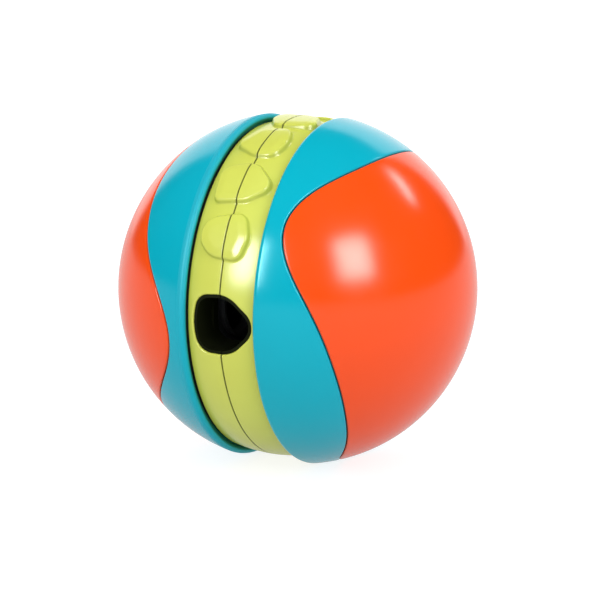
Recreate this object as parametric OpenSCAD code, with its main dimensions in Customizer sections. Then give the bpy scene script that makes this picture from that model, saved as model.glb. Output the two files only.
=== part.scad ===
// Treat dispensing ball: two moulded half balls that twist apart.
// Millimetres. X is the axis of the ball and of its twist closure, Z is up,
// and the dispensing hole faces -Y. The origin is the centre of the ball.
// Angles called phi run round X: 0 faces -Y and 90 faces +Z.

/* [Ball] */
// Outer radius of each dome
dome_r = 64; // [63.5:0.1:64.5]
// Distance of each dome's centre from the seam plane
dome_shift = 1.5; // [1.2:0.1:1.8]
// Wall thickness of the domes
dome_wall = 3.2; // [2.9:0.1:3.4]
// Distance of each dome's lip from the seam plane
lip_x = 13.0; // [12.9:0.05:13.2]
// Rounding of each lip
lip_round = 1.5; // [1.4:0.1:1.6]
// Width of the rim behind each lip
rim_w = 2.2; // [2.0:0.1:2.4]

/* [Grip band] */
// Radius of the band's floor at the seam
band_mid_r = 61.2; // [61.0:0.1:61.4]
// Radius of the band's floor at the lips
band_edge_r = 59.6; // [59.5:0.1:60]
// Radius of the raised pads
pad_r = 62.9; // [62.4:0.1:62.9]
// Gap between the two bands at the seam
seam_gap = 0.3; // [0.3:0.05:0.5]
// Number of raised pads
pad_count = 7; // [4:1:7]
// Angle from one pad to the next
pad_pitch = 20.5; // [20:0.1:21]
// Angle of the first pad above the hole
pad_first = 26; // [25:0.5:27]

/* [Dispensing hole] */
// Angle of the middle of the hole
hole_phi = -2.5; // [-4:0.5:0]
// Thickness of the chute's wall, inside the hole
chute_wall = 1.0; // [0.8:0.1:1.2]
// Depth of the chute wall's end under the band's surface
chute_sink = 0.7; // [0.5:0.1:0.8]

/* [Caps] */
// Mean angle of the three-lobed outline, seen from the dome's centre
lobe_mean = 62; // [61:0.5:63]
// Swing of the outline
lobe_swing = 9.0; // [8:0.5:9.5]
// Pinch that squares the lobes
lobe_pinch = 1.8; // [1:0.1:2]
// Angle of the first lobe on the right cap
right_lobe_phi = 30.5; // [25:0.5:35]
// Angle of the first lobe on the left cap
left_lobe_phi = -9; // [-14:0.5:-4]
// Depth of the recess that holds a cap
cap_depth = 2.0; // [1.8:0.1:2.1]
// Half width of the groove round a cap, in degrees
cap_groove = 0.2; // [0.15:0.05:0.3]
// Angle of the cap's bosses from the pole
boss_theta = 38; // [34:1:42]

/* [Twist closure] */
// Travel along X of one full turn of the quick thread
lead = 60; // [56:1:64]
// Length of each lug round the neck, in degrees
lug_deg = 24; // [20:1:26]
// Thickness of each lug along X
lug_w = 2.0; // [1.8:0.1:2.1]
// Clearance between lugs and between neck and socket
run_gap = 0.3; // [0.3:0.05:0.35]
// Outer radius of the neck
neck_r = 47.5; // [47.4:0.1:47.6]
// Inner radius of the neck
neck_bore_r = 45.1; // [45.0:0.05:45.2]
// Reach of the neck past the seam
neck_reach = 12.0; // [11.8:0.1:12.2]

/* [Treat chambers] */
// Inner radius of each bowl
bowl_r = 49.5; // [49.2:0.1:49.8]
// Wall thickness of each bowl
bowl_wall = 1.8; // [1.6:0.1:2]
// Radius of the windows in the plate
window_r = 11; // [8:0.5:11.5]
// Radius of the circle on which the windows lie
window_ring_r = 26.5; // [24:0.5:28]
// Radius of the post where the plate turns
journal_r = 4.0; // [3.8:0.1:4.2]

/* [Hidden] */
$fn = 96;

teal = [0.0, 0.66, 0.78];
orange = [1.0, 0.36, 0.06];
lime = [0.80, 0.85, 0.30];
charcoal = [0.16, 0.17, 0.18];
steel = [0.72, 0.73, 0.75];

recess_r = dome_r - cap_depth;          // floor of the cap's recess
shell_in_r = dome_r - dome_wall;        // inside of the dome
lip_cx = lip_x + lip_round;             // middle of the lip's rounding
lip_a = asin((lip_cx - dome_shift) / (dome_r - lip_round));
lip_cr = (dome_r - lip_round) * cos(lip_a);
band_x = lip_x - 0.25;                  // edge of the band
rim_x = lip_x + rim_w;                  // inner face of the rim
ring_r = 58.8;                          // inside of the band's hoop
web_x0 = 11.3;                          // the band's inward web
web_x1 = 13.3;
web_in_r = 48.5;
flange_x0 = 9.2;                        // flanges of neck and socket
flange_x1 = 11.2;
flange_r = 58.3;
bowl_x = 3;                             // distance of a bowl's centre from the seam
bowl_out_r = bowl_r + bowl_wall;
bowl_rim_x = 13.4;
socket_in_r = neck_r + 2.1;
socket_out_r = socket_in_r + 2.2;
screw_ring_r = 55.3;                    // circle of the band screws
fit_gap = 0.15;                         // between the chute's wall and the hole
screw_phi = [for (k = [0:5]) hole_phi + 30 + 60 * k];
lug_phi = [for (k = [0:2]) hole_phi + 60 + 120 * k];
female_x = 3.4;                         // middle of the socket's lugs
male_x = female_x + lug_w + run_gap;    // middle of the neck's lugs
shank_r = 1.4;
pilot_r = 1.45;
clear_r = 1.7;

// Corners of an outline: distance along X, distance round the band, radius
hole_corners = [[-9, 9.6, 5.5], [2.6, 10.7, 10.5], [14.5, -0.2, 6.7],
                [3.7, -10.8, 10.5], [-9, -10.5, 6.2], [-11.3, 0, 25]];
pad_shapes = [
    [[5.4, 9.5, 4.5], [8.5, 0.1, 8.3], [6.2, -8.7, 4],
     [-5.6, -7.7, 8.5], [-11.3, -1.1, 6.9], [-8.5, 6.5, 6.4]],
    [[1.8, 8.7, 6.9], [13, -2.4, 4.8], [3.6, -9, 6],
     [-9, -10.2, 3], [-10, -2.1, 8], [-10.4, 5.4, 5.3]],
    [[4.7, 8.8, 4], [9.2, -0.1, 17.5], [6.8, -10.4, 5],
     [-1.4, -10.8, 6.3], [-10.9, -5.2, 4.5], [-6.6, 7.6, 5.1]],
    [[3, 9.7, 6], [8.4, 3, 5], [12.6, -9.6, 4.2],
     [-3.4, -11.8, 5.6], [-8.4, -2.7, 5], [-10.5, 9, 3.6]]];

function unit(v) = v / norm(v);
// Points of the arc that rounds corner b, between corners a and c
function arc_points(a, b, c, r, n = 6) =
    let (u = unit(a - b), v = unit(c - b),
         half = acos(u * v) / 2,
         o = b + unit(u + v) * r / sin(half),
         p = b + u * r / tan(half), q = b + v * r / tan(half),
         a0 = atan2(p.y - o.y, p.x - o.x),
         a1 = atan2(q.y - o.y, q.x - o.x),
         turn = (a1 - a0 + 540) % 360 - 180)
    [for (i = [0:n]) let (t = a0 + turn * i / n) o + r * [cos(t), sin(t)]];
function xy(p) = [p.x, p.y];
function rounded(c) =
    let (n = len(c))
    [for (i = [0:n - 1])
        each arc_points(xy(c[(i + n - 1) % n]), xy(c[i]), xy(c[(i + 1) % n]), c[i][2])];
// Moves every side outwards by g
function grown(c, g) =
    let (n = len(c))
    [for (i = [0:n - 1])
        let (b = xy(c[i]), u = unit(xy(c[(i + n - 1) % n]) - b),
             v = unit(xy(c[(i + 1) % n]) - b),
             q = b - unit(u + v) * g / sin(acos(u * v) / 2))
        [q.x, q.y, c[i][2] + g]];
// Angle of the caps' outline from the pole, d degrees round from a lobe
function lobe_theta(d) = lobe_mean + lobe_swing * cos(3 * d)
    + lobe_pinch * cos(6 * d) + 0.3 * cos(9 * d);

// Puts a shape that was drawn round Z round X, with Z turned to +X
module round_x() { rotate([90, 0, 90]) children(); }
// A plain tube round X
module tube(x0, x1, r0, r1) {
    translate([x0, 0, 0]) rotate([0, 90, 0]) difference() {
        cylinder(h = x1 - x0, r = r1);
        translate([0, 0, -1]) cylinder(h = x1 - x0 + 2, r = r0);
    }
}
// A plain disc or rod round X
module rod(x0, x1, r) {
    translate([x0, 0, 0]) rotate([0, 90, 0]) cylinder(h = x1 - x0, r = r);
}
// Turns what lies at -Y round X to angle phi
module at_phi(phi) { rotate([-phi, 0, 0]) children(); }
// A prism that stands out from X at angle phi, from r0 to r1
module prism(corners, phi, r0, r1) {
    at_phi(phi) rotate([90, 0, 0]) translate([0, 0, r0])
        linear_extrude(height = r1 - r0) polygon(rounded(corners));
}
// Rods parallel to X on the circle of the band screws
module screw_rods(x0, x1, r) {
    for (phi = screw_phi)
        at_phi(phi) translate([0, -screw_ring_r, 0]) rod(x0, x1, r);
}
// Aims Z at a dome's boss number k, from the dome's centre
module at_boss(phase, k) {
    translate([dome_shift, 0, 0]) at_phi(phase + 120 * k)
        rotate([0, 0, -boss_theta]) rotate([0, 90, 0]) children();
}
// A three-lobed cone with its tip at the dome's centre
module lobed_cone(phase, more) {
    n = 96;
    far = 85;
    ring = [for (i = [0:n - 1]) let (p = 360 * i / n, t = lobe_theta(p - phase) + more)
        [far * cos(t), -far * sin(t) * cos(p), far * sin(t) * sin(p)]];
    translate([dome_shift, 0, 0]) polyhedron(
        points = concat([[0, 0, 0]], ring, [[135, 0, 0]]),
        faces = concat([for (i = [0:n - 1]) [0, 1 + (i + 1) % n, 1 + i]],
                       [for (i = [0:n - 1]) [n + 1, 1 + i, 1 + (i + 1) % n]]));
}

// Half profile of a wall between two circles whose centre is c along X,
// from x0 on, as [radius, x]
module arc_wall(c, r0, r1, x0) {
    intersection() {
        difference() {
            translate([0, c]) circle(r = r1, $fn = 180);
            translate([0, c]) circle(r = r0, $fn = 180);
        }
        translate([0, x0]) square(100);
    }
}

// What rounds the lip and sets the rim back behind it, as [radius, x]
module lip_cut() {
    difference() {
        union() {
            polygon([[lip_cr, lip_cx],
                [lip_cr + 9 * cos(lip_a), lip_cx + 9 * sin(lip_a)],
                [lip_cr + 9, 10], [lip_cr, 10]]);
            translate([50, 10]) square([lip_cr - 50, lip_x + 1 - 10]);
        }
        translate([lip_cr, lip_cx]) circle(r = lip_round, $fn = 180);
    }
}

// One dome on the +X side, open at the seam
module shell(phase) {
    difference() {
        union() {
            // dome, with its rounded lip and the rim behind it
            round_x() rotate_extrude($fn = 180) difference() {
                union() {
                    arc_wall(dome_shift, shell_in_r, dome_r, lip_x);
                    translate([ring_r, lip_x]) square([3, rim_w]);
                }
                lip_cut();
            }
            // bosses for the band screws
            screw_rods(rim_x + 0.1, 26, 3);
            // cups that hold the cap's bosses
            for (k = [0:2]) at_boss(phase, k)
                translate([0, 0, 56.9]) cylinder(h = 4.6, r = 5.2);
        }
        // three-lobed recess for the cap
        difference() {
            lobed_cone(phase, cap_groove);
            translate([dome_shift, 0, 0]) sphere(r = recess_r, $fn = 180);
        }
        screw_rods(rim_x, 23, pilot_r);
        for (k = [0:2]) at_boss(phase, k) {
            translate([0, 0, 58.4]) cylinder(h = 10, r = 3.4);
            translate([0, 0, 50]) cylinder(h = 12, r = clear_r);
        }
    }
}

// Cap that lies in the recess, with three bosses on its inside
module cap(phase) {
    difference() {
        union() {
            intersection() {
                lobed_cone(phase, -cap_groove);
                difference() {
                    translate([dome_shift, 0, 0]) sphere(r = dome_r, $fn = 180);
                    translate([dome_shift, 0, 0]) sphere(r = recess_r + 0.1, $fn = 180);
                }
            }
            for (k = [0:2]) at_boss(phase, k)
                translate([0, 0, 58.6]) cylinder(h = 4.4, r = 3.2);
        }
        for (k = [0:2]) at_boss(phase, k)
            translate([0, 0, 58]) cylinder(h = 4.8, r = pilot_r);
    }
}

// Screws that hold a cap from the inside
module cap_screws(phase) {
    for (k = [0:2]) at_boss(phase, k) difference() {
        union() {
            translate([0, 0, 55.1]) cylinder(h = 1.75, r = 3);
            translate([0, 0, 56]) cylinder(h = 6.6, r = shank_r);
        }
        cross_slot(55.1);
    }
}

// Cross-shaped driver slot that opens towards -Z at height z
module cross_slot(z) {
    for (a = [0, 90]) rotate([0, 0, a])
        translate([-1.7, -0.4, z - 1]) cube([3.4, 0.8, 2]);
}

// Radius of the band's floor at distance x from the seam plane
function floor_r(x) = band_mid_r - (band_mid_r - band_edge_r) * pow(x / band_x, 2);
// Points of the floor from the seam to x, sunk by d, as [radius, x]
function floor_points(x, d) =
    [for (i = [0:4]) let (q = seam_gap / 2 + (x - seam_gap / 2) * i / 4)
        [floor_r(q) - d, q]];
// Profile of the band and its web, as [radius, x]
function band_profile() = concat(
    [[ring_r, seam_gap / 2]], floor_points(band_x, 0),
    [[ring_r - 0.2, band_x], [ring_r - 0.2, web_x1], [web_in_r, web_x1],
     [web_in_r, web_x0], [ring_r, web_x0]]);

// One half of the grip band, on the side given by its sign
module band(side) {
    difference() {
        union() {
            mirror([side < 0 ? 1 : 0, 0, 0]) round_x()
                rotate_extrude($fn = 180) polygon(band_profile());
            for (k = [0:pad_count - 1]) intersection() {
                prism(pad_shapes[k % 4], pad_first + pad_pitch * k, 50, 70);
                mirror([side < 0 ? 1 : 0, 0, 0])
                    tube(seam_gap / 2, band_x, ring_r + 0.3, pad_r);
            }
        }
        prism(hole_corners, hole_phi, 54, 70);
        mirror([side < 0 ? 1 : 0, 0, 0]) screw_rods(5, 20, clear_r);
    }
}

// Bowl that lines one dome, with the flange that the band screws hold
module bowl() {
    difference() {
        round_x() rotate_extrude($fn = 180) {
            arc_wall(bowl_x, bowl_r, bowl_out_r, bowl_rim_x);
            translate([bowl_r - 0.5, bowl_rim_x])
                square([flange_r + 0.1 - bowl_r + 0.5, rim_x - bowl_rim_x]);
        }
        screw_rods(5, 20, clear_r);
    }
}

module band_screws() {
    for (phi = screw_phi) at_phi(phi) translate([0, -screw_ring_r, 0])
        rotate([0, 90, 0]) difference() {
            union() {
                translate([0, 0, flange_x0 - 2]) cylinder(h = 1.95, r = 2.9);
                translate([0, 0, flange_x0 - 1]) cylinder(h = 13.4, r = shank_r);
            }
            cross_slot(flange_x0 - 2);
        }
}

// The way out for the treats, cut short through the neck to leave its ends whole
module chute() {
    intersection() {
        prism(grown(hole_corners, -fit_gap - chute_wall), hole_phi, 40, 70);
        round_x() rotate_extrude($fn = 180) polygon([
            [38, -8.9], [neck_r + 1, -8.9], [neck_r + 1, -14], [72, -14],
            [72, 14], [neck_r + 1, 14], [neck_r + 1, 8.9], [38, 8.9]]);
    }
}

// What the chute is cut through, on the side given by its sign: it fills the
// hole of the band up to just under the surface
module chute_block(side, r0) {
    intersection() {
        prism(grown(hole_corners, -fit_gap), hole_phi, 40, 70);
        mirror([side < 0 ? 1 : 0, 0, 0]) round_x() rotate_extrude($fn = 180)
            polygon(concat([[r0, flange_x1], [r0, seam_gap / 2]],
                           floor_points(flange_x1, chute_sink)));
    }
}

// A lug that follows the quick thread, from radius r0 to r1
module lug(phi, x, r0, r1) {
    n = 8;
    ring = [for (i = [0:n])
        let (d = lug_deg * (i / n - 0.5), p = phi + d, xm = x - lead * d / 360)
        [for (q = [[r0, -1], [r1, -1], [r1, 1], [r0, 1]])
            [xm + q[1] * lug_w / 2, -q[0] * cos(p), q[0] * sin(p)]]];
    polyhedron(
        points = [for (r = ring) each r],
        faces = concat(
            [[0, 1, 2], [0, 2, 3]],
            [for (i = [0:n - 1], j = [0:3]) let (a = 4 * i + j, b = 4 * i + (j + 1) % 4)
                each [[a, a + 4, b], [b, a + 4, b + 4]]],
            [[4 * n + 2, 4 * n + 1, 4 * n], [4 * n + 3, 4 * n + 2, 4 * n]]));
}

// Ring on the left half: its neck carries the male lugs outside and three
// ribs inside that key the maze plate
module neck_ring() color(charcoal) {
    difference() {
        union() {
            tube(-13, neck_reach, neck_bore_r, neck_r);
            tube(-flange_x1, -flange_x0, neck_bore_r + 1, flange_r);
            for (phi = lug_phi) lug(phi, male_x, neck_r - 0.8, neck_r + 1.8);
            for (phi = lug_phi) at_phi(phi) translate([-12.8, -neck_bore_r - 0.6, -2])
                cube([12.6 + neck_reach, 1.9, 4]);
            chute_block(-1, neck_r - 1);
        }
        // seat of the O-ring
        round_x() rotate_extrude($fn = 180)
            translate([neck_r - 1.2, 9.35]) square([3, 1.8]);
        chute();
        mirror([1, 0, 0]) screw_rods(5, 20, clear_r);
    }
}

// Ring on the right half: its socket carries the female lugs
module socket_ring() color(charcoal) {
    difference() {
        union() {
            tube(0.3, flange_x0 + 1, socket_in_r, socket_out_r);
            tube(flange_x0, flange_x1, neck_r + run_gap, flange_r);
            for (phi = lug_phi) lug(phi, female_x, neck_r + run_gap, socket_in_r + 0.8);
            chute_block(1, socket_in_r + 1);
        }
        chute();
        screw_rods(5, 20, clear_r);
    }
}

// Silicone ring that rubs in the socket and keeps the closure from working loose
module neck_o_ring() color([0.12, 0.12, 0.12])
    round_x() rotate_extrude($fn = 180)
        translate([neck_r - 0.5, 10.25]) circle(r = 0.7, $fn = 32);

// Plate with three windows that slows the treats on their way to the hole
module maze_plate() color([0.25, 0.27, 0.28]) {
    difference() {
        union() {
            rod(-13.2, -11.2, neck_bore_r - run_gap);
            rod(-13.2, -7, 8);
            // baffles between the windows
            for (phi = lug_phi) at_phi(phi)
                translate([-12, -41, -0.8]) cube([6.5, 34, 1.6]);
            // raised rims of the windows
            for (phi = lug_phi) at_phi(phi + 60) translate([0, -window_ring_r, 0])
                rod(-13.2, -9.6, window_r + 1.4);
        }
        rod(-20, 0, journal_r + 0.05);
        for (phi = lug_phi) {
            at_phi(phi + 60) translate([0, -window_ring_r, 0]) rod(-20, 0, window_r);
            at_phi(phi) translate([-20, -50, -2.35]) cube([15, 6.5, 4.7]);
        }
    }
}

// Post on the right bowl that carries the maze plate
module centre_post() color(charcoal) {
    difference() {
        round_x() rotate_extrude($fn = 180) intersection() {
            union() {
                translate([0, -13.45]) square([journal_r, 20]);
                translate([0, -6.7]) square([6, 66]);
                translate([0, 43]) square([11, 17]);
            }
            translate([0, bowl_x]) circle(r = bowl_r - 0.02, $fn = 180);
        }
        rod(-14, -2, pilot_r);
        rod(44, 60, pilot_r);
    }
}

module post_screw() color(steel) difference() {
    union() {
        rod(bowl_x + bowl_out_r + 0.05, bowl_x + bowl_out_r + 2, 4);
        rod(45, bowl_x + bowl_out_r + 1, shank_r);
    }
    translate([bowl_x + bowl_out_r + 2, 0, 0]) rotate([0, -90, 0]) cross_slot(0);
}

module plate_washer() color(steel) tube(-14.75, -13.5, 1.6, 8);

module plate_screw() color(steel) difference() {
    union() {
        rod(-16.8, -14.8, 3.6);
        rod(-16, -4, shank_r);
    }
    translate([-16.8, 0, 0]) rotate([0, 90, 0]) cross_slot(0);
}

module left_shell() color(teal) mirror([1, 0, 0]) shell(left_lobe_phi);
module right_shell() color(teal) shell(right_lobe_phi);
module left_cap() color(orange) mirror([1, 0, 0]) cap(left_lobe_phi);
module right_cap() color(orange) cap(right_lobe_phi);
module left_band() color(lime) band(-1);
module right_band() color(lime) band(1);
module left_bowl() color(charcoal) mirror([1, 0, 0]) bowl();
module right_bowl() color(charcoal) difference() { bowl(); rod(40, 60, clear_r); }
module left_cap_screws() color(steel) mirror([1, 0, 0]) cap_screws(left_lobe_phi);
module right_cap_screws() color(steel) cap_screws(right_lobe_phi);
module left_band_screws() color(steel) mirror([1, 0, 0]) band_screws();
module right_band_screws() color(steel) band_screws();

left_shell();
right_shell();
left_cap();
right_cap();
left_band();
right_band();
left_bowl();
right_bowl();
neck_ring();
socket_ring();
neck_o_ring();
maze_plate();
centre_post();
post_screw();
plate_washer();
plate_screw();
left_cap_screws();
right_cap_screws();
left_band_screws();
right_band_screws();
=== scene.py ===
"""Looks of the treat dispensing ball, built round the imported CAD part.

The row frame is the CAD's: metres, X is the axis of the ball, the dispensing hole faces -Y and Z is up.
Helpers below work in millimetres, and the meshes are scaled when they are made.
"""

import math

import bmesh
import bpy
import numpy as np
from mathutils import Matrix, Vector


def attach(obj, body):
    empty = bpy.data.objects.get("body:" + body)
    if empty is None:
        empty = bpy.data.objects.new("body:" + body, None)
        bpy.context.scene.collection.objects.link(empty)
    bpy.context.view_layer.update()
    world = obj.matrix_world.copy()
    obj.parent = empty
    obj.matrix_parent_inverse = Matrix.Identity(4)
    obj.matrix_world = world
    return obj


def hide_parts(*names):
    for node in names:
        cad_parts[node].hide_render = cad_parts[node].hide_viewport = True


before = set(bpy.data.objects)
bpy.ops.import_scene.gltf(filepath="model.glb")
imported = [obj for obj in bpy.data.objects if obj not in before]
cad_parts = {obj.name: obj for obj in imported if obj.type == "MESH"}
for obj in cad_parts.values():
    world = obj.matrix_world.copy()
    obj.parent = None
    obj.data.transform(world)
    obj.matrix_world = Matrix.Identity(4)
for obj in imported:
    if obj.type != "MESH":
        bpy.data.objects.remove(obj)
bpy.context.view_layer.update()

MM = 0.001

# ---------------------------------------------------------------- sizes, as in the CAD
DOME_R, SHIFT, LIP_X, RIM_X, BAND_X = 64.0, 1.5, 13.0, 15.2, 12.75
RECESS_R, INNER_R, RING_R = 62.0, 60.8, 58.8
LOBE_PHI = {1: 30.5, -1: -9.0}
HOLE_PHI = -2.5
HOLE = [[-9, 9.6, 5.5], [2.6, 10.7, 10.5], [14.5, -0.2, 6.7], [3.7, -10.8, 10.5], [-9, -10.5, 6.2], [-11.3, 0, 25]]
PADS = [
    [[5.4, 9.5, 4.5], [8.5, 0.1, 8.3], [6.2, -8.7, 4], [-5.6, -7.7, 8.5], [-11.3, -1.1, 6.9], [-8.5, 6.5, 6.4]],
    [[1.8, 8.7, 6.9], [13, -2.4, 4.8], [3.6, -9, 6], [-9, -10.2, 3], [-10, -2.1, 8], [-10.4, 5.4, 5.3]],
    [[4.7, 8.8, 4], [9.2, -0.1, 17.5], [6.8, -10.4, 5], [-1.4, -10.8, 6.3], [-10.9, -5.2, 4.5], [-6.6, 7.6, 5.1]],
    [[3, 9.7, 6], [8.4, 3, 5], [12.6, -9.6, 4.2], [-3.4, -11.8, 5.6], [-8.4, -2.7, 5], [-10.5, 9, 3.6]],
]
PAD_FIRST, PAD_PITCH, PAD_COUNT, PAD_R = 26.0, 20.5, 7, 62.9
BOSS_THETA = 38.0
SCREW_R = 55.3
SCREW_PHI = [HOLE_PHI + 30 + 60 * k for k in range(6)]


# ---------------------------------------------------------------- outlines
def rounded(corners, m=14):
    """Outline with rounded corners, from [x, s, radius] corners."""
    out, n = [], len(corners)
    for i in range(n):
        a, b, c = (np.array(corners[(i + k) % n][:2], float) for k in (-1, 0, 1))
        r = corners[i][2]
        u, v = (a - b) / np.linalg.norm(a - b), (c - b) / np.linalg.norm(c - b)
        half = math.acos(float(np.clip(u @ v, -1, 1))) / 2
        o = b + (u + v) / np.linalg.norm(u + v) * r / math.sin(half)
        p, q = b + u * r / math.tan(half), b + v * r / math.tan(half)
        a0, a1 = math.atan2(p[1] - o[1], p[0] - o[0]), math.atan2(q[1] - o[1], q[0] - o[0])
        turn = (a1 - a0 + 3 * math.pi) % (2 * math.pi) - math.pi
        for k in range(m + 1):
            t = a0 + turn * k / m
            out.append([o[0] + r * math.cos(t), o[1] + r * math.sin(t)])
    return np.array(out)


def walk(path, fractions):
    """Points of an open path at these fractions of its length."""
    step = np.linalg.norm(np.diff(path, axis=0), axis=1)
    at = np.concatenate([[0], np.cumsum(step)])
    at /= at[-1]
    return np.stack([np.interp(fractions, at, path[:, k]) for k in (0, 1)], -1)


def evened(outline, n):
    """The closed outline with n even steps."""
    return walk(np.vstack([outline, outline[:1]]), np.arange(n) / n)


def offset(outline, d):
    """The closed outline moved outwards by d."""
    t = np.roll(outline, -1, 0) - np.roll(outline, 1, 0)
    n = np.stack([t[:, 1], -t[:, 0]], -1)
    n /= np.linalg.norm(n, axis=1)[:, None]
    nx = np.roll(outline, -1, 0)
    area = (outline[:, 0] * nx[:, 1] - outline[:, 1] * nx[:, 0]).sum()
    return outline + n * d * (1 if area > 0 else -1)


def depth_in(x, s, outline):
    """Distance of each point from the outline, positive inside it."""
    d, inside = np.full(x.shape, 1e9), np.zeros(x.shape, bool)
    ends = np.roll(outline, -1, 0)
    for (ax, ay), (bx, by) in zip(outline, ends):
        ex, ey = bx - ax, by - ay
        t = np.clip(((x - ax) * ex + (s - ay) * ey) / max(ex * ex + ey * ey, 1e-12), 0, 1)
        d = np.minimum(d, np.hypot(x - ax - t * ex, s - ay - t * ey))
        if ay != by:
            crossing = (ay > s) != (by > s)
            inside ^= crossing & (x < ax + ex * (s - ay) / ey)
    return np.where(inside, d, -d)


def smooth(t):
    t = np.clip(t, 0, 1)
    return t * t * (3 - 2 * t)


def lobe(phi, side):
    """Angle of a cap's outline from the pole, and how it changes, in radians, at phi in radians."""
    d = phi - math.radians(LOBE_PHI[side])
    theta = np.radians(62 + 9 * np.cos(3 * d) + 1.8 * np.cos(6 * d) + 0.3 * np.cos(9 * d))
    slope = -np.radians(27 * np.sin(3 * d) + 10.8 * np.sin(6 * d) + 2.7 * np.sin(9 * d))
    return theta, slope


# ---------------------------------------------------------------- solids from grids
class Solid:
    """Collects grids of points whose edges meet, and welds them into one closed mesh."""

    def __init__(self):
        self.points, self.quads, self.count = [], [], 0

    def grid(self, p):
        a, b = p.shape[:2]
        i = self.count + np.arange(a * b).reshape(a, b)
        self.points.append(p.reshape(-1, 3))
        self.quads.append(np.stack([i[:-1, :-1], i[1:, :-1], i[1:, 1:], i[:-1, 1:]], -1).reshape(-1, 4))
        self.count += a * b

    def turned(self, profile, at, to, n=24):
        """A closed profile of (height, radius) turned round the axis from at along to."""
        to = np.array(to, float) / np.linalg.norm(to)
        u = np.cross(to, [0.3, 0.5, 0.81])
        u /= np.linalg.norm(u)
        v = np.cross(to, u)
        t = np.linspace(0, 2 * np.pi, n + 1)
        ring = np.cos(t)[:, None] * u + np.sin(t)[:, None] * v
        pr = np.array(list(profile) + [profile[0]], float)
        self.grid(np.array(at, float) + pr[:, :1, None] * to + pr[:, 1:, None] * ring[None])

    def build(self, name, side):
        p, q = np.concatenate(self.points), np.concatenate(self.quads)
        key = np.round(p / 0.00137).astype(np.int64)
        _, first, same = np.unique(key, axis=0, return_index=True, return_inverse=True)
        p, q = p[first], same.reshape(-1)[q]
        p = p * np.array([side, 1, 1]) * MM
        faces = []
        for f in q.tolist():
            f = [a for k, a in enumerate(f) if a != f[k - 1]]
            if len(f) > 2:
                faces.append(f)
        me = bpy.data.meshes.new(name)
        me.from_pydata(p.tolist(), [], faces)
        bm = bmesh.new()
        bm.from_mesh(me)
        bmesh.ops.recalc_face_normals(bm, faces=bm.faces[:])
        loose = sum(len(e.link_faces) != 2 for e in bm.edges)
        bm.to_mesh(me)
        bm.free()
        print(name, len(me.vertices), "vertices", len(me.polygons), "faces", loose, "open edges")
        me.shade_smooth()
        me.set_sharp_from_angle(angle=math.radians(38))
        o = bpy.data.objects.new(name, me)
        bpy.context.scene.collection.objects.link(o)
        return o


COLUMNS = 288
PHI = np.linspace(0, 2 * np.pi, COLUMNS + 1)


def dome_ring(r, theta):
    theta = np.broadcast_to(theta, PHI.shape)
    return np.stack([SHIFT + r * np.cos(theta), -r * np.sin(theta) * np.cos(PHI), r * np.sin(theta) * np.sin(PHI)], -1)


def hoop(x, r):
    return np.stack([np.full(PHI.shape, float(x)), -r * np.cos(PHI), r * np.sin(PHI)], -1)


def boss_axes(side):
    for k in range(3):
        p, t = math.radians(LOBE_PHI[side] + 120 * k), math.radians(BOSS_THETA)
        yield [math.cos(t), -math.sin(t) * math.cos(p), math.sin(t) * math.sin(p)]


def make_cap(side, name):
    """Three-lobed cap with a rounded edge, and the three bosses under it."""
    theta, slope = lobe(PHI, side)
    per_mm = np.sqrt(1 + (slope / np.sin(theta)) ** 2) / DOME_R
    edge = theta - 0.23 * per_mm
    round_r = 0.55
    rings = [dome_ring(DOME_R, s * (edge - round_r * per_mm)) for s in np.linspace(0, 1, 44)]
    for a in np.linspace(0, math.pi / 2, 8)[1:]:
        rings.append(dome_ring(DOME_R - round_r * (1 - math.cos(a)), edge - round_r * (1 - math.sin(a)) * per_mm))
    for r in (63.0, 62.5, 62.1):
        rings.append(dome_ring(r, edge))
    rings += [dome_ring(62.1, s * edge) for s in np.linspace(1, 0, 22)[1:]]
    s = Solid()
    s.grid(np.stack(rings))
    for axis in boss_axes(side):
        s.turned([(58.6, 1.45), (58.6, 3.0), (58.8, 3.2), (62.4, 3.2), (62.4, 1.45)], [SHIFT, 0, 0], axis)
    return s.build(name, side)


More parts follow.
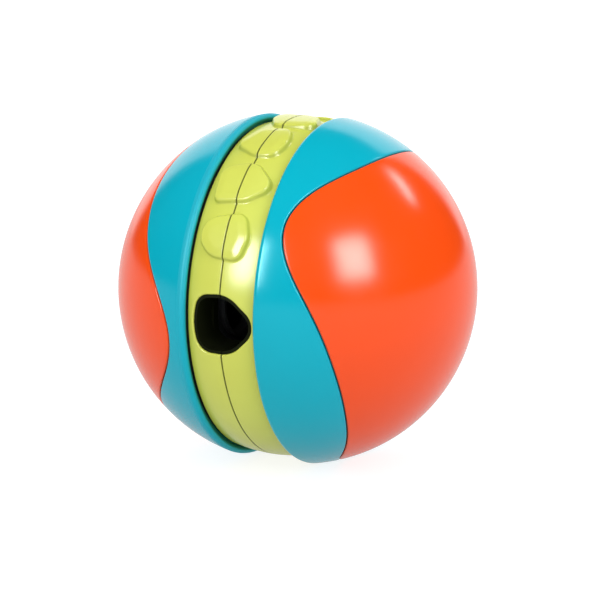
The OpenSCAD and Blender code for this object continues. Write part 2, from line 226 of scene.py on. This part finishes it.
def make_shell(side, name):
    """Dome with the cap's recess, a rounded lip, the rim set back behind it and the inner wall."""
    theta, slope = lobe(PHI, side)
    per_mm = np.sqrt(1 + (slope / np.sin(theta)) ** 2) / DOME_R
    edge = theta + 0.23 * per_mm
    rings = [dome_ring(RECESS_R, s * (edge - 0.25 * per_mm)) for s in np.linspace(0, 1, 10)]
    for a in np.linspace(0, math.pi / 2, 4)[1:]:
        rings.append(dome_ring(RECESS_R + 0.25 * (1 - math.cos(a)), edge - 0.25 * (1 - math.sin(a)) * per_mm))
    rings.append(dome_ring(63.0, edge))
    round_r = 0.5
    for a in np.linspace(0, math.pi / 2, 8):
        rings.append(dome_ring(DOME_R - round_r * (1 - math.sin(a)), edge + round_r * (1 - math.cos(a)) * per_mm))
    lip_r = 1.5
    lip = math.acos((LIP_X - SHIFT + lip_r) / (DOME_R - lip_r))
    start = edge + round_r * per_mm
    rings += [dome_ring(DOME_R, start + s * (lip - start)) for s in np.linspace(0, 1, 26)[1:]]
    cx, cr = SHIFT + (DOME_R - lip_r) * math.cos(lip), (DOME_R - lip_r) * math.sin(lip)
    under = math.pi + math.acos((lip_r - 1.0) / lip_r)
    for b in np.linspace(lip, under, 21)[1:]:
        rings.append(hoop(cx + lip_r * math.cos(b), cr + lip_r * math.sin(b)))
    rings.append(hoop(LIP_X + 1.0, 59.1))
    for a in np.linspace(0, math.pi / 2, 4)[1:]:
        rings.append(hoop(LIP_X + 1.0 + 0.3 * (1 - math.cos(a)), 59.1 - 0.3 * math.sin(a)))
    inner = math.acos((RIM_X - SHIFT) / INNER_R)
    rings += [hoop(RIM_X, RING_R), hoop(RIM_X, INNER_R * math.sin(inner))]
    rings += [dome_ring(INNER_R, s * inner) for s in np.linspace(1, 0, 26)[1:]]
    s = Solid()
    s.grid(np.stack(rings))
    for phi in SCREW_PHI:
        p = math.radians(phi)
        s.turned([(RIM_X + 0.1, 1.45), (RIM_X + 0.1, 3.0), (26.9, 3.0), (26.9, 1.45)],
                 [0, -SCREW_R * math.cos(p), SCREW_R * math.sin(p)], [1, 0, 0])
    for axis in boss_axes(side):
        s.turned([(56.9, 1.7), (56.9, 5.0), (57.1, 5.2), (61.2, 5.2), (61.2, 3.4), (58.4, 3.4), (58.4, 1.7)],
                 [SHIFT, 0, 0], axis)
    return s.build(name, side)


# ---------------------------------------------------------------- grip band
PAD_OUTLINES = [rounded(PADS[k % 4], 8) for k in range(PAD_COUNT)]


def band_floor(x):
    return 61.2 - 1.6 * (x / BAND_X) ** 2


def band_top(x, phi):
    """Radius of the band's outside at signed x and phi in degrees: the floor and the soft pads on it."""
    x, phi = np.broadcast_arrays(np.asarray(x, float), np.asarray(phi, float))
    r = band_floor(x)
    for k, outline in enumerate(PAD_OUTLINES):
        turn = (phi - PAD_FIRST - PAD_PITCH * k + 180) % 360 - 180
        near = np.abs(turn) < 13
        if near.any():
            d = depth_in(x[near], 62.4 * np.sin(np.radians(turn[near])), outline)
            top = PAD_R - 0.45 * (1 - smooth(d / 4.0))
            foot = smooth((d + 0.45) / 1.35)
            r = r.copy()
            r[near] += foot * (top - r[near])
    return r


def place(x, r, phi):
    """Points at x and radius r, phi degrees round X."""
    x, r, phi = np.broadcast_arrays(x, r, np.radians(phi))
    return np.stack([x, -r * np.cos(phi), r * np.sin(phi)], -1)


def clipped(outline, x0):
    """The part of an outline past x0, from its upper crossing to its lower one."""
    past = outline[:, 0] > x0
    k = next(i for i in range(len(past)) if past[i] and not past[i - 1])
    p, past = np.roll(outline, -k, 0), np.roll(past, -k)
    n = int(np.argmin(past))

    def cross(a, b):
        return a + (b - a) * (x0 - a[0]) / (b[0] - a[0])

    path = np.vstack([cross(p[-1], p[0]), p[:n], cross(p[n - 1], p[n])])
    return path if path[0, 1] > path[-1, 1] else path[::-1]


def make_band(side, name):
    seam, seam_r, outer_r = 0.15, 0.16, 0.4
    x0, x1, xb = seam + seam_r, BAND_X - outer_r, 11.3
    nx, up, down = 45, 13.0, -18.0
    xs, xbs = np.linspace(x0, x1, nx), np.linspace(x0, xb, nx)
    arc = np.linspace(0, math.pi / 2, 5)
    falls = np.linspace(0, 1, 5)[1:]

    def seam_column(rt, phi_top, phi_low):
        """From the top edge over the rounded seam edge down to the inside; each input holds one value per column."""
        rt, phi_top, phi_low = (np.atleast_1d(np.asarray(a, float))[:, None] for a in (rt, phi_top, phi_low))
        x = np.concatenate([x0 - seam_r * np.sin(arc), np.full(4, seam)])[None]
        r = np.hstack([rt - seam_r + seam_r * np.cos(arc), rt - seam_r + falls * (RING_R - rt + seam_r)])
        share = (rt - r) / (rt - RING_R)
        return place(x, r, phi_top + share * (phi_low - phi_top))

    def outer_column(phi):
        phi = np.atleast_1d(phi)[:, None]
        rt = band_top(side * x1, phi)
        a = np.linspace(0, math.pi / 2, 6)
        x = np.concatenate([x1 + outer_r * np.sin(a), [BAND_X, BAND_X, 13.3, 13.3, 13.3, 11.3, 11.3, 11.3]])[None]
        low = np.broadcast_to(np.array([58.9, 58.6, 58.6, 54.0, 48.5, 48.5, 54.0, RING_R]), (len(phi), 8))
        return place(x, np.hstack([rt - outer_r + outer_r * np.cos(a), low]), phi)

    s = Solid()
    # the hoop, from above the hole round to below it
    phi = np.concatenate([np.linspace(up, 166, 511), np.linspace(166, 360 + down, 90)[1:]])
    top = place(xs[None], band_top(side * xs[None], phi[:, None]), phi[:, None])
    low = place(xbs[None, ::-1], RING_R, phi[:, None])
    face = seam_column(band_top(side * x0, phi), phi, phi)
    s.grid(np.concatenate([top, outer_column(phi)[:, 1:], low[:, 1:], face[:, ::-1]], 1))

    # the part round the hole
    outline = evened(rounded(HOLE, 24), 720) * np.array([side, 1])
    nside = 80
    phis = np.linspace(up, down, nside)
    lip_r = 0.7
    share = np.concatenate([np.linspace(0, 0.2, nx), np.linspace(0.2, 0.8, nside)[1:], np.linspace(0.8, 1, nx)[1:]])
    path_x = np.concatenate([xs, np.full(nside, x1)[1:], xs[::-1][1:]])
    path_xb = np.concatenate([xbs, np.full(nside, xb)[1:], xbs[::-1][1:]])
    path_phi = np.concatenate([np.full(nx, up), phis[1:], np.full(nx, down)[1:]])
    tops, lows, shape = [], [], []
    for k, a in enumerate(np.linspace(0, math.pi / 2, 8)):
        cut = walk(clipped(offset(outline, lip_r * (1 - math.cos(a))), x0), share)
        cut[0, 0] = cut[-1, 0] = x0
        x, h = cut[:, 0], cut[:, 1]
        r = band_floor(x) - lip_r * (1 - math.sin(a))
        tops.append((x, r, HOLE_PHI + np.degrees(np.arcsin(h / r))))
        lows.append((np.minimum(x, xb - 0.2 + 0.01 * k), HOLE_PHI + np.degrees(np.arcsin(h / RING_R))))
    for w in np.linspace(0, 1, 24)[1:]:
        (ax, _, aphi), (bx, bphi) = tops[7], lows[7]
        x, p = ax + w * (path_x - ax), aphi + w * (path_phi - aphi)
        tops.append((x, band_top(side * x, p), p))
        lows.append((bx + w * (path_xb - bx), bphi + w * (path_phi - bphi)))
    top = np.stack([place(*t) for t in tops])
    low = np.stack([place(x, RING_R, p) for x, p in lows])
    faces = [seam_column([t[1][e] for t in tops], [t[2][e] for t in tops], [l[1][e] for l in lows]) for e in (0, -1)]
    s.grid(top)
    s.grid(np.concatenate([faces[0][:, -1:], low, faces[1][:, -1:]], 1))
    for f in faces:
        s.grid(f)
    drop = np.linspace(0, 1, faces[0].shape[1])[:, None, None]
    wall = top[0][None] * (1 - drop) + low[0][None] * drop
    s.grid(np.concatenate([faces[0][0][:, None], wall, faces[1][0][:, None]], 1))
    s.grid(outer_column(phis))
    return s.build(name, side)


# ---------------------------------------------------------------- materials
def node_of(nodes, kind, **values):
    n = nodes.new(kind)
    for k, v in values.items():
        if hasattr(n, k):
            setattr(n, k, v)
        else:
            n.inputs[k.replace("_", " ")].default_value = v
    return n


def plastic(name, colour, drift=0.03, tone=(1.0, 1.0, 1.0), rough=(0.2, 0.26), peel=300.0, peel_mm=0.004,
            grain=2600.0, grain_mm=0.0015, metallic=0.0, specular=0.5, tint=(1.0, 1.0, 1.0), zones=()):
    """Moulded plastic: slow drift in its pigment, uneven gloss, and a shallow orange peel with fine grain on it."""
    m = bpy.data.materials.new(name)
    m.use_nodes = True
    nodes, links = m.node_tree.nodes, m.node_tree.links
    p = nodes["Principled BSDF"]
    p.inputs["Metallic"].default_value = metallic
    p.inputs["Specular IOR Level"].default_value = specular
    p.inputs["Specular Tint"].default_value = (*tint, 1)
    co = nodes.new("ShaderNodeTexCoord")

    def noise(scale, detail, rough_=0.5):
        n = nodes.new("ShaderNodeTexNoise")
        n.inputs["Scale"].default_value = scale
        n.inputs["Detail"].default_value = detail
        n.inputs["Roughness"].default_value = rough_
        links.new(co.outputs["Object"], n.inputs["Vector"])
        return n

    cloud = noise(24.0, 3.0)
    spread = nodes.new("ShaderNodeMapRange")
    spread.interpolation_type = "SMOOTHSTEP"
    spread.inputs["From Min"].default_value = 0.32
    spread.inputs["From Max"].default_value = 0.68
    links.new(cloud.outputs["Fac"], spread.inputs["Value"])
    mix = nodes.new("ShaderNodeMix")
    mix.data_type = "RGBA"
    low = [c * (1 - drift) * t for c, t in zip(colour, tone)]
    high = [min(1.0, c * (1 + drift)) for c in colour]
    mix.inputs[6].default_value = (*low, 1)
    mix.inputs[7].default_value = (*high, 1)
    links.new(spread.outputs["Result"], mix.inputs[0])
    # zones of painted shade or of other gloss: (function that makes the mask, colour or None, more roughness)
    shade, dull = mix.outputs[2], []
    for mask_of, zone_colour, more in zones:
        mask = mask_of(nodes, links, co.outputs["Object"])
        if zone_colour:
            layer = nodes.new("ShaderNodeMix")
            layer.data_type = "RGBA"
            links.new(mask, layer.inputs[0])
            links.new(shade, layer.inputs[6])
            layer.inputs[7].default_value = (*zone_colour, 1)
            shade = layer.outputs[2]
        if more:
            dull.append((mask, more))
    links.new(shade, p.inputs["Base Color"])

    smear = noise(70.0, 4.0, 0.6)
    gloss = nodes.new("ShaderNodeMapRange")
    gloss.inputs["From Min"].default_value = 0.3
    gloss.inputs["From Max"].default_value = 0.7
    gloss.inputs["To Min"].default_value = rough[0]
    gloss.inputs["To Max"].default_value = rough[1]
    links.new(smear.outputs["Fac"], gloss.inputs["Value"])
    sheen = gloss.outputs["Result"]
    for mask, more in dull:
        add = nodes.new("ShaderNodeMath")
        add.operation = "MULTIPLY_ADD"
        links.new(mask, add.inputs[0])
        add.inputs[1].default_value = more
        links.new(sheen, add.inputs[2])
        sheen = add.outputs[0]
    links.new(sheen, p.inputs["Roughness"])

    coarse, fine = noise(peel, 2.0), noise(grain, 1.0)
    b1, b2 = nodes.new("ShaderNodeBump"), nodes.new("ShaderNodeBump")
    for b, n, d in ((b1, fine, grain_mm), (b2, coarse, peel_mm)):
        b.inputs["Strength"].default_value = 1.0
        b.inputs["Distance"].default_value = d * MM
        links.new(n.outputs["Fac"], b.inputs["Height"])
    links.new(b1.outputs["Normal"], b2.inputs["Normal"])
    links.new(b2.outputs["Normal"], p.inputs["Normal"])
    return m


class Field:
    """Small sums on the point's place in the part, for the masks below."""

    def __init__(self, nodes, links, place_):
        self.nodes, self.links = nodes, links
        split_ = nodes.new("ShaderNodeSeparateXYZ")
        links.new(place_, split_.inputs[0])
        self.x, self.y, self.z = split_.outputs[0:3]
        flat_ = nodes.new("ShaderNodeVectorMath")
        flat_.operation = "MULTIPLY"
        flat_.inputs[1].default_value = (0, 1, 1)
        links.new(place_, flat_.inputs[0])
        size_ = nodes.new("ShaderNodeVectorMath")
        size_.operation = "LENGTH"
        links.new(flat_.outputs[0], size_.inputs[0])
        self.r = size_.outputs["Value"]

    def sum(self, op, *values):
        n = self.nodes.new("ShaderNodeMath")
        n.operation = op
        for k, v in enumerate(values):
            if isinstance(v, (int, float)):
                n.inputs[k].default_value = v
            else:
                self.links.new(v, n.inputs[k])
        return n.outputs[0]

    def step(self, value, lo, hi, a=0.0, b=1.0):
        n = self.nodes.new("ShaderNodeMapRange")
        n.interpolation_type = "SMOOTHSTEP"
        for k, v in (("From Min", lo), ("From Max", hi), ("To Min", a), ("To Max", b)):
            n.inputs[k].default_value = v
        self.links.new(value, n.inputs["Value"])
        return n.outputs["Result"]


def lip_hollow_shade(nodes, links, place_):
    """The hollow under each lip: painted dark green as shade there, and duller, as the polish doesn't reach it."""
    f = Field(nodes, links, place_)
    return f.sum("MULTIPLY", f.step(f.sum("ABSOLUTE", f.x), 0.0155, 0.0165, 0.9, 0.0), f.step(f.r, 0.0608, 0.0617, 1.0, 0.0))


def left_lip(nodes, links, place_):
    """The duller rounding of the left lip."""
    f = Field(nodes, links, place_)
    return f.sum("MULTIPLY", f.step(f.x, -0.0165, -0.0150), f.step(f.x, -0.001, 0.001, 1.0, 0.0))


def seam_shade(nodes, links, place_):
    """Painted shade in the rounded edges of the seam, which are also made duller."""
    f = Field(nodes, links, place_)
    return f.step(f.sum("ABSOLUTE", f.x), 0.00018, 0.00048, 0.62, 0.0)


def pad_flank_shade(nodes, links, place_):
    """The flanks of the pads, between the floor and the tops, painted darker olive as shade."""
    f = Field(nodes, links, place_)
    floor_ = f.sum("SUBTRACT", 0.0612, f.sum("MULTIPLY", f.sum("MULTIPLY", f.x, f.x), 1.6e-3 / 0.01275 ** 2))
    rise = f.sum("DIVIDE", f.sum("SUBTRACT", f.r, floor_), f.sum("SUBTRACT", 0.0629, floor_))
    return f.sum("MULTIPLY", f.step(rise, 0.02, 0.22, 0.0, 0.42), f.step(rise, 0.42, 0.68, 1.0, 0.0))


def chute_shade(nodes, links, place_):
    """The walls of the chute, painted dark olive as the shade inside the hole."""
    f = Field(nodes, links, place_)
    near = f.sum("MULTIPLY", f.step(f.sum("ABSOLUTE", f.x), 0.0145, 0.0175, 1.0, 0.0), f.step(f.sum("ABSOLUTE", f.z), 0.014, 0.019, 1.0, 0.0))
    return f.sum("MULTIPLY", near, f.step(f.y, -0.042, -0.034, 1.0, 0.0))


# the dark green zone under the lips is painted shade; the left lip's zone only adds roughness
TEAL = plastic("teal_gloss", (0.0, 0.43, 0.56), drift=0.02, rough=(0.15, 0.19), tint=(0.5, 1.0, 1.0),
               zones=((lip_hollow_shade, (0.0, 0.13, 0.07), 0.3), (left_lip, None, 0.32)))
ORANGE = plastic("orange_gloss", (1.0, 0.077, 0.0), drift=0.025, rough=(0.165, 0.205))
# the darker olive on the pad flanks and the dark seam line are painted shade
LIME = plastic("lime_gloss", (0.66, 0.72, 0.115), drift=0.03, tone=(1.0, 0.98, 0.9), rough=(0.2, 0.25),
               zones=((pad_flank_shade, (0.33, 0.38, 0.03), 0.1), (seam_shade, (0.07, 0.08, 0.006), 0.2)))
INNER = plastic("inner_charcoal", (0.030, 0.033, 0.034), drift=0.12, rough=(0.42, 0.52), grain_mm=0.006)
# the dark olive on the chute walls is painted shade
RINGS = plastic("ring_black", (0.020, 0.021, 0.022), drift=0.15, rough=(0.6, 0.72), grain_mm=0.008, specular=0.06,
                zones=((chute_shade, (0.0085, 0.0110, 0.0020), 0.0),))
PLATE = plastic("plate_grey", (0.055, 0.060, 0.064), drift=0.1, rough=(0.45, 0.58), grain_mm=0.007)
RUBBER = plastic("silicone_black", (0.012, 0.012, 0.012), drift=0.2, rough=(0.6, 0.75), grain_mm=0.006)
STEEL = plastic("plated_steel", (0.60, 0.61, 0.63), drift=0.06, rough=(0.2, 0.36), metallic=1.0, peel=900.0,
                peel_mm=0.002, grain=6000.0, grain_mm=0.001)


def dress(o, material, slot, body, *nodes):
    o.data.materials.clear()
    o.data.materials.append(material)
    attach(o, body)
    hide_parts(*nodes)


# ---------------------------------------------------------------- the ball
for side, word in ((-1, "left"), (1, "right")):
    body = word + "_half"
    dress(make_shell(side, word + "_dome"), TEAL, "teal_shell", body, word + "_shell")
    dress(make_cap(side, word + "_lobed_cap"), ORANGE, "orange_cap", body, word + "_cap")
    dress(make_band(side, word + "_grip_band"), LIME, "lime_band", body, word + "_band")

CARRIED = {
    "left_bowl": (INNER, "inner_plastic"), "right_bowl": (INNER, "inner_plastic"),
    "neck_ring": (RINGS, "ring_plastic"), "socket_ring": (RINGS, "ring_plastic"),
    "centre_post": (RINGS, "ring_plastic"), "neck_o_ring": (RUBBER, "silicone"),
    "maze_plate": (PLATE, "plate_plastic"), "post_screw": (STEEL, "screw_steel"),
    "plate_washer": (STEEL, "screw_steel"), "plate_screw": (STEEL, "screw_steel"),
    "left_cap_screws": (STEEL, "screw_steel"), "right_cap_screws": (STEEL, "screw_steel"),
    "left_band_screws": (STEEL, "screw_steel"), "right_band_screws": (STEEL, "screw_steel"),
}
for name, (material, slot) in CARRIED.items():
    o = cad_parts[name]
    for k in range(len(o.material_slots)):
        o.material_slots[k].material = material
    if not o.material_slots:
        o.data.materials.append(material)

# ---------------------------------------------------------------- floor
FLOOR_Z = -0.06263


def make_floor():
    radii = np.concatenate([[0], np.geomspace(0.01, 8.0, 40)])
    t = np.linspace(0, 2 * np.pi, 97)
    p = np.stack([radii[:, None] * np.cos(t), radii[:, None] * np.sin(t), np.full((41, 97), FLOOR_Z)], -1)
    s = Solid()
    s.grid(p / MM)
    return s.build("studio_floor", 1)


floor = make_floor()
m = bpy.data.materials.new("paper_floor")
m.use_nodes = True
nodes, links = m.node_tree.nodes, m.node_tree.links
p = nodes["Principled BSDF"]
p.inputs["Roughness"].default_value = 0.9
p.inputs["Specular IOR Level"].default_value = 0.0
co = nodes.new("ShaderNodeTexCoord")
far = nodes.new("ShaderNodeVectorMath")
far.operation = "LENGTH"
links.new(co.outputs["Object"], far.inputs[0])
glow = nodes.new("ShaderNodeMapRange")
glow.interpolation_type = "SMOOTHSTEP"
for k, v in (("From Min", 0.05), ("From Max", 0.5), ("To Min", 0.84), ("To Max", 0.95)):
    glow.inputs[k].default_value = v
links.new(far.outputs["Value"], glow.inputs["Value"])
# the paper is bright in the picture and in the gloss, and throws less light back on the colours
seen = nodes.new("ShaderNodeLightPath")
bounce, strength = nodes.new("ShaderNodeMix"), nodes.new("ShaderNodeMix")
bounce.data_type = strength.data_type = "FLOAT"
bounce.inputs[2].default_value = 0.50
bounce.inputs[3].default_value = 0.30
links.new(seen.outputs["Is Diffuse Ray"], bounce.inputs[0])
links.new(seen.outputs["Is Camera Ray"], strength.inputs[0])
links.new(bounce.outputs[0], strength.inputs[2])
links.new(glow.outputs["Result"], strength.inputs[3])
fibre = nodes.new("ShaderNodeTexNoise")
fibre.inputs["Scale"].default_value = 500.0
links.new(co.outputs["Object"], fibre.inputs["Vector"])
paper = nodes.new("ShaderNodeMix")
paper.data_type = "RGBA"
paper.inputs[6].default_value = (0.29, 0.29, 0.29, 1)
paper.inputs[7].default_value = (0.32, 0.32, 0.32, 1)
links.new(fibre.outputs["Fac"], paper.inputs[0])
links.new(paper.outputs[2], p.inputs["Base Color"])
p.inputs["Emission Color"].default_value = (1, 1, 1, 1)
links.new(strength.outputs[0], p.inputs["Emission Strength"])
floor.data.materials.append(m)


# ---------------------------------------------------------------- lights
def along(azimuth, elevation):
    """Direction at this azimuth from -Y towards +X and elevation, in degrees."""
    a, e = math.radians(azimuth), math.radians(elevation)
    return Vector((math.cos(e) * math.sin(a), -math.cos(e) * math.cos(a), math.sin(e)))


def softbox(name, azimuth, elevation, distance, width, height, radiance, roll=0.0, in_gloss=True, in_matte=True,
            edge=0.0):
    light = bpy.data.lights.new(name, "AREA")
    light.shape = "RECTANGLE"
    light.size, light.size_y = width, height
    light.energy = radiance * math.pi * width * height
    if edge > 0:
        # fades towards its edges, like cloth on a frame; with share 0.5 at the middle of each edge zone
        light.use_nodes = True
        ln, ll = light.node_tree.nodes, light.node_tree.links
        emit = next(n for n in ln if n.type == "EMISSION")
        where = ln.new("ShaderNodeNewGeometry")
        parts = ln.new("ShaderNodeSeparateXYZ")
        ll.new(where.outputs["Parametric"], parts.inputs[0])
        fade = []
        for axis in (0, 1):
            off = ln.new("ShaderNodeMath")
            off.operation = "SUBTRACT"
            off.inputs[1].default_value = 0.5
            ll.new(parts.outputs[axis], off.inputs[0])
            size = ln.new("ShaderNodeMath")
            size.operation = "ABSOLUTE"
            ll.new(off.outputs[0], size.inputs[0])
            ramp_ = ln.new("ShaderNodeMapRange")
            ramp_.interpolation_type = "SMOOTHSTEP"
            for k, v in (("From Min", 0.5 - edge), ("From Max", 0.5), ("To Min", 1.0), ("To Max", 0.0)):
                ramp_.inputs[k].default_value = v
            ll.new(size.outputs[0], ramp_.inputs["Value"])
            fade.append(ramp_.outputs["Result"])
        both = ln.new("ShaderNodeMath")
        both.operation = "MULTIPLY"
        ll.new(fade[0], both.inputs[0])
        ll.new(fade[1], both.inputs[1])
        ll.new(both.outputs[0], emit.inputs["Strength"])
    o = bpy.data.objects.new(name, light)
    bpy.context.scene.collection.objects.link(o)
    d = along(azimuth, elevation)
    o.rotation_mode = "QUATERNION"
    o.rotation_quaternion = d.to_track_quat("Z", "Y") @ Matrix.Rotation(math.radians(roll), 3, "Z").to_quaternion()
    o.location = d * distance
    o.visible_camera = False
    o.visible_glossy = in_gloss
    o.visible_diffuse = in_matte
    return o


# what the gloss mirrors, and beside it what lights the colours
softbox("key_shine", 61.5, 26.8, 0.9, 0.51, 0.58, 14.0, in_matte=False, edge=0.35)
softbox("second_shine", -9.5, 24.5, 0.9, 0.36, 0.54, 20.0, in_matte=False, edge=0.25)
softbox("strip_shine", 142.0, 40.4, 0.9, 0.38, 0.14, 9.5, roll=40.0, in_matte=False, edge=0.35)
softbox("key_light", 64.5, 23.5, 0.9, 0.46, 0.45, 2.5, in_gloss=False)
softbox("second_light", -9.5, 23.5, 0.9, 0.32, 0.47, 2.3, in_gloss=False)
softbox("top_light", 20.0, 80.0, 1.6, 1.6, 1.6, 0.28, in_gloss=False)
softbox("back_light", 200.0, 30.0, 1.6, 1.6, 1.0, 0.4, in_gloss=False)

# ---------------------------------------------------------------- surroundings
world = bpy.data.worlds.new("studio")
bpy.context.scene.world = world
world.use_nodes = True
wn, wl = world.node_tree.nodes, world.node_tree.links
wn.clear()


def math_node(op, a, b=None):
    n = wn.new("ShaderNodeMath")
    n.operation = op
    for k, v in enumerate((a, b)):
        if v is None:
            continue
        if isinstance(v, (int, float)):
            n.inputs[k].default_value = v
        else:
            wl.new(v, n.inputs[k])
    return n.outputs[0]


def ramp(value, lo, hi, a=0.0, b=1.0):
    n = wn.new("ShaderNodeMapRange")
    n.interpolation_type = "SMOOTHSTEP"
    for k, v in (("From Min", lo), ("From Max", hi), ("To Min", a), ("To Max", b)):
        n.inputs[k].default_value = v
    wl.new(value, n.inputs["Value"])
    return n.outputs["Result"]


direction = wn.new("ShaderNodeTexCoord").outputs["Generated"]
split = wn.new("ShaderNodeSeparateXYZ")
wl.new(direction, split.inputs[0])
x, y, z = split.outputs
flat = math_node("SQRT", math_node("MAXIMUM", math_node("SUBTRACT", 1.0, math_node("MULTIPLY", z, z)), 1e-4))
back = math_node("DIVIDE", math_node("ADD", math_node("MULTIPLY", x, -0.434), math_node("MULTIPLY", y, 0.901)), flat)
# a white sheet behind the ball, up to 40 degrees, and paper below the horizon
sheet = math_node("MULTIPLY", ramp(back, 0.79, 0.86), ramp(z, 0.60, 0.67, 1.25, 0.0))
paper_low = ramp(z, -0.02, 0.04, 1.0, 0.0)
bright = math_node("MAXIMUM", sheet, paper_low)
seen_in_gloss = math_node("ADD", math_node("MULTIPLY", bright, 0.99), 0.005)
path = wn.new("ShaderNodeLightPath")
soft = 0.95
diffuse_or_gloss = math_node("ADD", math_node("MULTIPLY", path.outputs["Is Diffuse Ray"], soft),
                             math_node("MULTIPLY", math_node("SUBTRACT", 1.0, path.outputs["Is Diffuse Ray"]), seen_in_gloss))
strength = math_node("ADD", path.outputs["Is Camera Ray"],
                     math_node("MULTIPLY", math_node("SUBTRACT", 1.0, path.outputs["Is Camera Ray"]), diffuse_or_gloss))
background = wn.new("ShaderNodeBackground")
background.inputs["Color"].default_value = (1, 1, 1, 1)
wl.new(strength, background.inputs["Strength"])
out = wn.new("ShaderNodeOutputWorld")
wl.new(background.outputs[0], out.inputs[0])
world.cycles.sampling_method = "NONE"

# ---------------------------------------------------------------- camera
cam = bpy.data.cameras.new("photo_camera")
cam.lens, cam.sensor_width, cam.sensor_fit = 125.3, 36.0, "HORIZONTAL"
cam.clip_start, cam.clip_end = 0.05, 100.0
eye = bpy.data.objects.new("photo_camera", cam)
bpy.context.scene.collection.objects.link(eye)
right, upward = Vector((0.89980, 0.43619, 0.01027)), Vector((-0.09494, 0.17276, 0.98038))
behind = Vector((0.42587, -0.88311, 0.19686))
turn = Matrix((right, upward, behind)).transposed()
eye.rotation_mode = "QUATERNION"
eye.rotation_quaternion = turn.to_quaternion()
eye.location = (0.32568, -0.67337, 0.14553)
bpy.context.scene.camera = eye
bpy.context.scene.view_settings.view_transform = "Standard"
